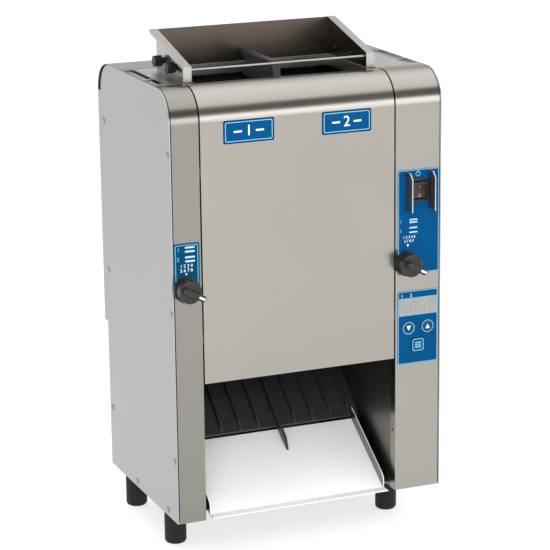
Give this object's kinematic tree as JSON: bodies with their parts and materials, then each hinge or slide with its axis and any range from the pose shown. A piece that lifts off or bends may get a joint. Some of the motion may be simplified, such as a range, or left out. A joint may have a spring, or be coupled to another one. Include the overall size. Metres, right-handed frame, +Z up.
{
  "type": "vertical contact toaster",
  "caption": "Upright counter-top contact toaster with a sloping feeder on top, belt conveyors beside a heated platen, front knobs and keys, and an open outlet chute below.",
  "frame": {"origin": "on the ground under the middle of the machine's bounding box", "axes": "+X to the right as seen from the front, +Y to the back, +Z up; the outlet and the knobs face -Y"},
  "size_m": [0.3688, 0.299, 0.6575],
  "materials": {
    "side_steel": "fine vertical grain",
    "front_steel": "fine vertical grain, warm grey",
    "top_steel": "fine grain along the width",
    "inner_steel": "mill finish",
    "screw_steel": "turned",
    "blue_panel": "satin printed overlay",
    "black_plastic": "fine grained",
    "key_plastic": "soft domed keys",
    "display_plastic": "smoked window",
    "board": "solder mask",
    "rubber": "matte",
    "black_coat": "dark non-stick coating",
    "drum": "machined",
    "belt": "ribbed silicone",
    "platen": "cast and ground",
    "element": "heat-tinted sheath",
    "release_cloth": "coated glass cloth",
    "chain": "oiled",
    "bronze": "sintered",
    "motor_paint": "satin"
  },
  "bodies": {
    "housing": {"base_pan": "inner_steel", "control_board": "board", "cord_gland": "black_plastic", "display_window": "display_plastic", "drive_chain": "chain", "fan_housing": "black_plastic", "gearmotor": "motor_paint", "heating_elements": "element", "lane_divider": "black_coat", "left_bulkhead": "inner_steel", "left_column": "front_steel", "left_dial_plate": "blue_panel", "left_side_panel": "side_steel", "lower_control_plate": "blue_panel", "outlet_chute": "black_coat", "outlet_divider": "black_coat", "platen_front_half": "platen", "platen_rear_half": "platen", "power_switch": "black_plastic", "rear_panel": "inner_steel", "release_sheet": "release_cloth", "right_bulkhead": "inner_steel", "right_column": "front_steel", "right_side_panel": "side_steel", "rubber_feet": "rubber", "shaft_bushes": "bronze", "side_screws": "screw_steel", "switch_guard": "black_plastic", "top_panel": "top_steel", "upper_control_plate": "blue_panel"},
    "front_cover": {"front_cover": "front_steel", "cover_marker_plates": "blue_panel"},
    "rear_cover": {"rear_cover": "top_steel"},
    "feeder": {"feeder_frame": "top_steel", "feeder_rod": "top_steel"},
    "landing_tray": {"landing_tray": "top_steel"},
    "crown_conveyor": {"crown_conveyor_frame": "inner_steel", "crown_belt": "belt"},
    "crown_drive": {"crown_drive_drum": "drum"},
    "crown_idler": {"crown_idler_drum": "drum"},
    "crown_adjuster": {"crown_knob": "black_plastic", "crown_cam_shaft": "inner_steel"},
    "heel_conveyor": {"heel_conveyor_frame": "inner_steel", "heel_belt": "belt"},
    "heel_drive": {"heel_drive_drum": "drum"},
    "heel_idler": {"heel_idler_drum": "drum"},
    "heel_adjuster": {"heel_knob": "black_plastic", "heel_cam_shaft": "inner_steel"},
    "motor_output": {"motor_sprocket": "chain"},
    "tension_wheel": {"tension_sprocket": "chain"},
    "power_rocker": {"power_rocker": "black_plastic"},
    "down_key": {"down_key": "key_plastic"},
    "up_key": {"up_key": "key_plastic"},
    "program_key": {"program_key": "key_plastic"},
    "fan_rotor": {"fan_rotor": "black_plastic"},
    "feeder_screw_front_left": {"feeder_screw_front_left": "screw_steel"},
    "feeder_screw_front_right": {"feeder_screw_front_right": "screw_steel"},
    "feeder_screw_rear_left": {"feeder_screw_rear_left": "screw_steel"},
    "feeder_screw_rear_right": {"feeder_screw_rear_right": "screw_steel"}
  },
  "joints": [
    {"name": "front_cover_lift", "type": "slide", "parent": "housing", "child": "front_cover", "axis": [0, 0, 1], "range_m": [0, 0.1]},
    {"name": "rear_cover_pull", "type": "slide", "parent": "housing", "child": "rear_cover", "axis": [0, 1, 0], "range_m": [0, 0.1]},
    {"name": "feeder_lift", "type": "slide", "parent": "housing", "child": "feeder", "axis": [0, 0, 1], "range_m": [0, 0.1]},
    {"name": "landing_tray_slide", "type": "slide", "parent": "housing", "child": "landing_tray", "axis": [0, -0.8387, -0.5446], "range_m": [0, 0.09]},
    {"name": "crown_conveyor_tilt", "type": "hinge", "parent": "housing", "child": "crown_conveyor", "pos_m": [0, -0.0695, 0.28], "axis": [1, 0, 0], "range_deg": [-2.5, 2.5]},
    {"name": "heel_conveyor_tilt", "type": "hinge", "parent": "housing", "child": "heel_conveyor", "pos_m": [0, 0.0565, 0.28], "axis": [1, 0, 0], "range_deg": [-2.5, 2.5]},
    {"name": "crown_knob_turn", "type": "hinge", "parent": "housing", "child": "crown_adjuster", "pos_m": [0.134, 0, 0.363], "axis": [0, 1, 0], "range_deg": [-75, 75]},
    {"name": "heel_knob_turn", "type": "hinge", "parent": "housing", "child": "heel_adjuster", "pos_m": [-0.166, 0, 0.363], "axis": [0, 1, 0], "range_deg": [-75, 75]},
    {"name": "crown_drive_spin", "type": "hinge", "parent": "housing", "child": "crown_drive", "pos_m": [0, -0.0695, 0.28], "axis": [1, 0, 0], "continuous": true},
    {"name": "heel_drive_spin", "type": "hinge", "parent": "housing", "child": "heel_drive", "pos_m": [0, 0.0565, 0.28], "axis": [1, 0, 0], "continuous": true},
    {"name": "crown_idler_spin", "type": "hinge", "parent": "crown_conveyor", "child": "crown_idler", "pos_m": [0, -0.0695, 0.558], "axis": [1, 0, 0], "continuous": true},
    {"name": "heel_idler_spin", "type": "hinge", "parent": "heel_conveyor", "child": "heel_idler", "pos_m": [0, 0.0565, 0.558], "axis": [1, 0, 0], "continuous": true},
    {"name": "motor_spin", "type": "hinge", "parent": "housing", "child": "motor_output", "pos_m": [0.1247, -0.0065, 0.168], "axis": [1, 0, 0], "continuous": true},
    {"name": "tension_spin", "type": "hinge", "parent": "housing", "child": "tension_wheel", "pos_m": [0.1247, 0.0975, 0.264], "axis": [1, 0, 0], "continuous": true},
    {"name": "power_rocker_tip", "type": "hinge", "parent": "housing", "child": "power_rocker", "pos_m": [0.15, -0.1145, 0.457], "axis": [1, 0, 0], "range_deg": [-20, 0]},
    {"name": "down_key_press", "type": "slide", "parent": "housing", "child": "down_key", "axis": [0, 1, 0], "range_m": [0, 0.0008], "stiffness_N_per_m": 400, "springref_m": -0.0005},
    {"name": "up_key_press", "type": "slide", "parent": "housing", "child": "up_key", "axis": [0, 1, 0], "range_m": [0, 0.0008], "stiffness_N_per_m": 400, "springref_m": -0.0005},
    {"name": "program_key_press", "type": "slide", "parent": "housing", "child": "program_key", "axis": [0, 1, 0], "range_m": [0, 0.0008], "stiffness_N_per_m": 400, "springref_m": -0.0005},
    {"name": "fan_spin", "type": "hinge", "parent": "housing", "child": "fan_rotor", "pos_m": [-0.013, 0.1, 0.398], "axis": [0, 1, 0], "continuous": true},
    {"name": "feeder_screw_front_left_turn", "type": "hinge", "parent": "feeder", "child": "feeder_screw_front_left", "pos_m": [-0.131, -0.0135, 0.6195], "axis": [1, 0, 0], "continuous": true},
    {"name": "feeder_screw_front_right_turn", "type": "hinge", "parent": "feeder", "child": "feeder_screw_front_right", "pos_m": [0.105, -0.0135, 0.6195], "axis": [1, 0, 0], "continuous": true},
    {"name": "feeder_screw_rear_left_turn", "type": "hinge", "parent": "feeder", "child": "feeder_screw_rear_left", "pos_m": [-0.131, 0.0335, 0.621], "axis": [1, 0, 0], "continuous": true},
    {"name": "feeder_screw_rear_right_turn", "type": "hinge", "parent": "feeder", "child": "feeder_screw_rear_right", "pos_m": [0.105, 0.0335, 0.621], "axis": [1, 0, 0], "continuous": true}
  ],
  "couplings": [
    {"joint": "crown_knob_turn", "follows": "crown_conveyor_tilt", "ratio": 30},
    {"joint": "heel_knob_turn", "follows": "heel_conveyor_tilt", "ratio": -30},
    {"joint": "heel_drive_spin", "follows": "crown_drive_spin", "ratio": -1},
    {"joint": "crown_idler_spin", "follows": "crown_drive_spin", "ratio": 1},
    {"joint": "heel_idler_spin", "follows": "crown_drive_spin", "ratio": -1},
    {"joint": "motor_spin", "follows": "crown_drive_spin", "ratio": 1.3333},
    {"joint": "tension_spin", "follows": "crown_drive_spin", "ratio": 1.6}
  ]
}
